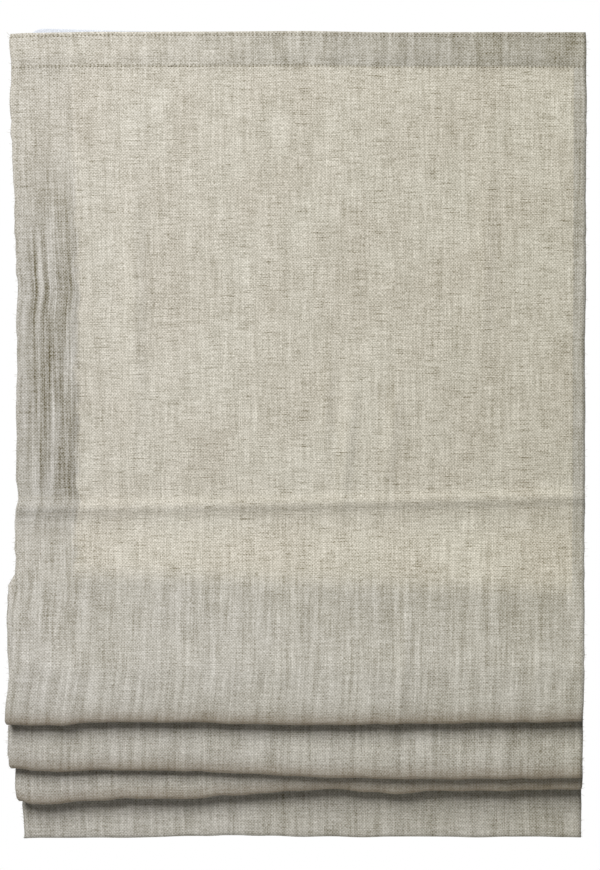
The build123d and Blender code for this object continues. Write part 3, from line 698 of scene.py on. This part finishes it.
def tubes(name, points, material):
    """Many short closed tubes as one piece, from points in millimetres: tube by ring by place round
    it. As in surface, all faces are reversed where the volume that they sweep is negative."""
    count, rings, sides = points.shape[:3]
    index = np.arange(rings * sides).reshape(rings, sides)
    index = np.concatenate([index, index[:, :1]], axis=1)
    quads = np.stack([index[:-1, :-1], index[:-1, 1:], index[1:, 1:], index[1:, :-1]], axis=-1).reshape(-1, 4)
    caps = np.stack([index[0, -2::-1], index[-1, :-1]])
    flat = points.reshape(count, -1, 3)
    a, b, c, d = ((flat - flat.mean(axis=1, keepdims=True))[:, quads[:, k]] for k in range(4))
    if (a * np.cross(b, c)).sum() + (a * np.cross(c, d)).sum() < 0:
        quads, caps = quads[:, ::-1], caps[:, ::-1]
    first = (np.arange(count) * rings * sides)[:, None, None]
    mesh = bpy.data.meshes.new(name)
    mesh.from_pydata((flat.reshape(-1, 3) / 1000).tolist(), [],
                     (quads + first).reshape(-1, 4).tolist() + (caps + first).reshape(-1, sides).tolist())
    mesh.shade_smooth()
    piece = bpy.data.objects.new(name, mesh)
    bpy.context.scene.collection.objects.link(piece)
    piece.data.materials.append(material)
    return piece


def stitches(name, middles, seed):
    """Many short rounded threads along X, each a six-sided tube of five rings whose radius follows
    a half circle, moved to its middle and tilted a little at random."""
    ring = np.linspace(-1, 1, 5)[:, None]
    a = np.linspace(0, 2 * math.pi, 6, endpoint=False)[None, :]
    r = stitch_radius * np.sqrt(1.06 - ring ** 2)
    x, y, z = ring * stitch_length / 2, r * np.cos(a) * stitch_flat, r * np.sin(a)
    one = np.stack(np.broadcast_arrays(x, y, z), axis=-1)
    tilt = np.random.default_rng(seed).normal(0, stitch_tilt, len(middles))
    points = middles[:, None, None, :] + one
    points[..., 2] += one[..., 0] * tilt[:, None, None]
    return tubes(name, points, thread)


def thread_end(name, start, middle, end):
    """A loose thread: a thin tube about the curve (1-t)^2 start + 2 t (1-t) middle + t^2 end, whose
    points say how far across, in front of the sheet and up they are."""
    t = np.linspace(0, 1, thread_rows)[:, None, None]
    a = np.linspace(0, 2 * math.pi, 6, endpoint=False)[None, :, None]
    start, middle, end = ((x, sheet_y - reach, z) for x, reach, z in (start, middle, end))
    curve = (1 - t) ** 2 * np.array(start) + 2 * t * (1 - t) * np.array(middle) + t ** 2 * np.array(end)
    ring = thread_radius * (np.cos(a) * np.array([0, 1, 0]) + np.sin(a) * np.array([0.6, 0, 0.8]))
    piece = surface(name, curve + ring, around=True, caps=True)
    piece.data.materials.append(thread)
    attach(piece, "headrail")


# Spun cotton thread is matt, with a fine twist that shows as a change of tone.
twist_mm = 0.5
thread, tree, shader = new_material("spun_cotton_thread", {"Roughness": 0.85, "Sheen Weight": 0.2})
twist = grain(tree, "TexNoise", 3 * [twist_mm])
colour(tree, shader, (twist, "Fac"), tones=("#AFA898", "#D8D3C5"))
row = np.arange(1.5, cloth_width - 1.5, stitch_pitch)
heading_rows = [on_sheet(row, 3.2 + 0 * row, 0), on_sheet(row, 27.6 + 1.0 * row / cloth_width, 0)]
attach(stitches("heading_stitches", np.concatenate(heading_rows), 1), "headrail")
seam_rows = [on_sheet(row, 375.6 + 0 * row, -0.05), on_sheet(row, 388.8 + 0 * row, -0.05)]
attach(stitches("first_pocket_stitches", np.concatenate(seam_rows), 2), "headrail")
tack = np.arange(52.0, 90.0, stitch_pitch)
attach(stitches("tack_stitches", on_sheet(tack, 411 + 0 * tack, 0), 3), "headrail")
thread_end("seam_thread_end", (-105.0, 0.5, -8.6), (-103.0, 1.6, -7.4), (-99.6, 1.2, -5.6))
thread_end("corner_thread_long", (-232.8, 0.3, 16.4), (-234.2, 0.8, 17.4), (-235.6, 0.6, 19.0))
thread_end("corner_thread_short", (-233.0, 0.3, 14.8), (-234.4, 0.6, 15.0), (-235.0, 0.4, 16.2))


# Loose fibres: short ends of flax that stand out of the side edges, all the way down the sheet. They are part
# of the cloth and are laid on the lift's line like it.

fibre_radii, fibre_rings = np.array([0.14, 0.11, 0.05]), np.array([-0.3, 0.5, 1.0])


def fibre_points(column, way, count, seed):
    """One fibre to a row, three rings of three points each: it starts on the sheet's edge column at a
    random place down it, goes up to 2 mm outwards and bends away at random, and thins to its tip."""
    random = np.random.default_rng(seed)
    place = np.sort(random.uniform(2, arc[-1] - 45, count))
    root = np.stack([np.interp(place, arc, line[:, column, k]) for k in range(3)], axis=1)
    reach = random.uniform(0.6, 2.0, count)[:, None]
    aim = [way * np.ones(count), random.normal(0, 0.35, count), random.normal(0, 0.7, count)]
    aim = np.stack(aim, axis=1)
    bend = random.normal(0, 0.5, (count, 3)) * reach
    t = fibre_rings[None, :, None]
    middle = root[:, None, :] + (reach * aim)[:, None, :] * t + bend[:, None, :] * np.maximum(t, 0) ** 2
    a = np.linspace(0, 2 * math.pi, 3, endpoint=False)
    ring = np.stack([0 * a, np.cos(a), np.sin(a)], axis=1)
    return place, middle[:, :, None, :] + ring * fibre_radii[:, None, None]


# Flax fibre is pale straw and a little glossy.
flax, tree, shader = new_material("flax_fibre", {"Base Color": linear("#C4BEAE"), "Roughness": 0.6})
for side, column, way, count in (("left", 0, -1, 420), ("right", -1, 1, 260)):
    places, points = fibre_points(column, way, count, 60 + column)
    follow_lift(tubes(f"loose_fibres_{side}", points, flax), places, points.reshape(count, -1, 3))


# Rod pockets: white cotton tape with a woven tube down its middle, sewn flat to the back of the
# sheet by its two edges. A rod slides into the tube of each.

rod_y, pocket_front, pocket_half, pocket_height = -31.15, -33.9, 218.0, 15.0
pocket_gauge, tube_radius, bore_radius = 0.5, 2.75, 2.25
pocket_rows, tube_degrees, strip_from, pocket_seam = 110, 78, 3.4, 6.4


def pocket_points(height, seed):
    """A tape with a tube: an outline round the flat edge strips and the tube's back, carried along X
    with a slow ripple of the strips, then back along X as the round bore, so that it closes on itself."""
    x = np.linspace(-pocket_half, pocket_half, pocket_rows)
    edge = pocket_height / 2
    back_face = pocket_front + pocket_gauge
    arch = np.radians(np.linspace(tube_degrees, -tube_degrees, 17))
    outline = np.concatenate([
        np.stack([np.full(9, pocket_front), np.linspace(-edge, edge, 9)], axis=1),
        np.stack([np.full(4, back_face), np.linspace(edge, strip_from, 4)], axis=1),
        np.stack([rod_y + tube_radius * np.cos(arch), tube_radius * np.sin(arch)], axis=1),
        np.stack([np.full(4, back_face), np.linspace(-strip_from, -edge, 4)], axis=1)])
    angle = np.arctan2(outline[:, 1], outline[:, 0] - rod_y)
    bore = np.stack([rod_y + bore_radius * np.cos(angle), bore_radius * np.sin(angle)], axis=1)
    outer, inner = (
        np.stack(np.broadcast_arrays(way[:, None], ring[None, :, 0], ring[None, :, 1] + height), axis=-1)
        for way, ring in ((x, outline), (x[::-1], bore)))
    loose = np.clip(np.abs(outline[:, 1]) - strip_from, 0, None) / edge
    outer[:, :, 2] += 0.5 * lattice_noise(x, 0 * x, 23, 1, seed)[:, None] * loose[None, :]
    return np.concatenate([outer, inner])


# Cotton tape is off-white with a close herringbone that reads as fine cross ribs.
rib_mm = 1.4
cotton, tree, shader = new_material("woven_cotton_tape", {"Roughness": 0.9, "Sheen Weight": 0.15})
rib = grain(tree, "TexNoise", (rib_mm, rib_mm, 4 * rib_mm), {"Detail": 2.0})
colour(tree, shader, (rib, "Fac"), tones=("#D3D0C6", "#EDEBE4"), relief=(0.5, 0.2))
rod_bodies = ["headrail", "second_rod", "third_rod", "bottom_section"]
for level, (body, rod_drop) in enumerate(zip(rod_bodies, rod_drops), 1):
    height = cloth_top - rod_drop
    pocket = surface(f"pocket_tape_{level}", pocket_points(height, 20 + level), around=True, along=True)
    pocket.data.materials.append(cotton)
    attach(pocket, body)
    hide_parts(f"rod_pocket_{level}")
    x = np.arange(2 - pocket_half, pocket_half - 2, stitch_pitch)
    y = np.full_like(x, pocket_front + pocket_gauge + 0.08)
    rows = [np.stack([x, y, np.full_like(x, height + side * pocket_seam)], axis=1) for side in (-1, 1)]
    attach(stitches(f"pocket_stitches_{level}", np.concatenate(rows), 30 + level), body)


# Rods and bottom bar: the rods are drawn glass fibre, 4 mm thick, and the bar is a flat aluminium
# extrusion in the bottom hem that keeps the sheet straight and pulls it down.

# Glass fibre is a milky white with fine long fibres under a clear resin skin.
fibre_mm = 0.5
fibre, tree, shader = new_material("glass_fibre_rod", {"Roughness": 0.3, "Coat Weight": 0.3})
strands = grain(tree, "TexNoise", (50 * fibre_mm, fibre_mm, fibre_mm), {"Detail": 2.0})
colour(tree, shader, (strands, "Fac"), tones=("#DADACB", "#EFEFE6"))
dress(fibre, *[f"rod_{level}" for level in range(1, 5)])

# Bare extruded aluminium has faint die lines along its length.
die_mm = 0.4
bare, tree, shader = new_material("extruded_aluminium", {"Metallic": 1.0})
die_lines = grain(tree, "TexNoise", (250 * die_mm, die_mm, die_mm), {"Detail": 2.0})
colour(tree, shader, (die_lines, "Fac"), tones=("#B9BABC", "#D2D3D4"), gloss=(0.3, 0.5))
dress(bare, "bottom_bar")


# Camera: square on to the middle of the blind, at the distance of a room photograph.
view_mm, view_distance, sensor_mm = 870 * 0.806, 2500.0, 36
camera = bpy.data.objects.new("camera", bpy.data.cameras.new("camera"))
camera.location = (0.0008, (sheet_y - view_distance) / 1000, -0.3055)
camera.rotation_euler = (math.radians(90), 0, 0)
camera.data.sensor_width = sensor_mm
camera.data.lens = sensor_mm * view_distance / view_mm
bpy.context.scene.collection.objects.link(camera)
bpy.context.scene.camera = camera

# Light: one large soft lamp above and in front, a little to the left, a weaker one behind, and an
# even pale room that is bright to the camera but adds little light.
middle = Vector((0, 0, -0.35))
for name, width, height, watts, place in (("soft_lamp", 1.6, 2.6, 206, (-1.1, -2.8, 2.28)),
                                          ("back_lamp", 1.4, 1.0, 70, (0.6, 2.3, 1.0))):
    light = bpy.data.lights.new(name, "AREA")
    light.shape, light.size, light.size_y, light.energy = "RECTANGLE", width, height, watts
    lamp = bpy.data.objects.new(name, light)
    lamp.location = place
    lamp.rotation_euler = (middle - Vector(lamp.location)).to_track_quat("-Z", "Y").to_euler()
    bpy.context.scene.collection.objects.link(lamp)

room_light = 0.02
world = bpy.data.worlds.new("pale_room")
world.use_nodes = True
bpy.context.scene.world = world
tree = world.node_tree
path = add_node(tree, "LightPath")
seen = (path, "Is Camera Ray")
for ray in ("Is Glossy Ray", "Is Transmission Ray"):
    seen = (add_node(tree, "Math", {"operation": "MAXIMUM"}, {0: seen, 1: (path, ray)}), 0)
strength = add_node(tree, "MapRange", {"To Min": room_light, "To Max": 1.0}, {"Value": seen})
tree.links.new(strength.outputs["Result"], tree.nodes["Background"].inputs["Strength"])
tree.nodes["Background"].inputs["Color"].default_value = (1, 1, 1, 1)
bpy.context.scene.view_settings.view_transform = "Standard"

# Floor: a plain pale sheet under the lowered blind.
floor_mm, floor_z = 1200.0, -1500.0
floor_ends = (-floor_mm, floor_mm)
floor = surface("floor", np.array([[[x, y, floor_z] for x in floor_ends] for y in floor_ends]))
floor_paint, tree, shader = new_material("pale_floor_paint", {"Base Color": linear("#E9E8E5"),
                                                              "Roughness": 0.8})
floor.data.materials.append(floor_paint)
